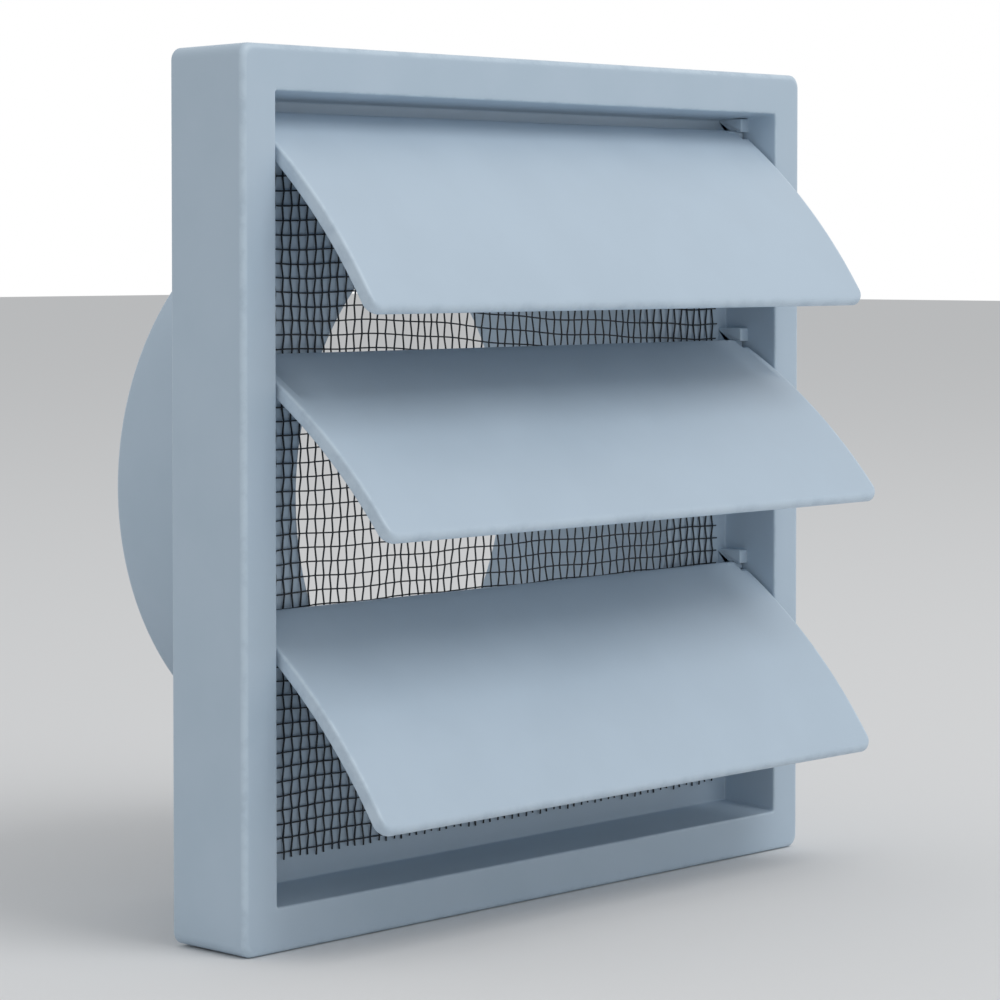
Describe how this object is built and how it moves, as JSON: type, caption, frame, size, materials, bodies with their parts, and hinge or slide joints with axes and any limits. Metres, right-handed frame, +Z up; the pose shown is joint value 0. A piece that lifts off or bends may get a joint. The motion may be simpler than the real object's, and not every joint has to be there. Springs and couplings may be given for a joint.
{
  "type": "wall vent cover",
  "caption": "Square wall vent cover with hanging curved flaps in a shallow tray, an insect screen behind them, and a round spigot that enters the duct.",
  "frame": {"origin": "on the spigot's axis, in the plane of the wall that the cover is fixed to", "axes": "+Y runs along the spigot into the wall, +Z is up, +X is to the right for someone who faces the cover"},
  "size_m": [0.14, 0.0753, 0.14],
  "materials": {
    "housing_plastic": "satin moulded plastic, blue-grey",
    "flap_plastic": "satin moulded plastic, blue-grey",
    "screen_wire": "black coated fine wire"
  },
  "bodies": {
    "frame_body": {"housing": "housing_plastic", "insect_mesh": "screen_wire"},
    "top_flap_body": {"flap_top": "flap_plastic"},
    "middle_flap_body": {"flap_middle": "flap_plastic"},
    "bottom_flap_body": {"flap_bottom": "flap_plastic"}
  },
  "joints": [
    {"name": "top_flap_hinge", "type": "hinge", "parent": "frame_body", "child": "top_flap_body", "pos_m": [0, -0.0086, 0.0601], "axis": [-1, 0, 0], "range_deg": [-27.5, 47]},
    {"name": "middle_flap_hinge", "type": "hinge", "parent": "frame_body", "child": "middle_flap_body", "pos_m": [0, -0.0086, 0.0224], "axis": [-1, 0, 0], "range_deg": [-41.8, 15.2]},
    {"name": "bottom_flap_hinge", "type": "hinge", "parent": "frame_body", "child": "bottom_flap_body", "pos_m": [0, -0.0086, -0.0178], "axis": [-1, 0, 0], "range_deg": [-44.5, 20.5]}
  ]
}
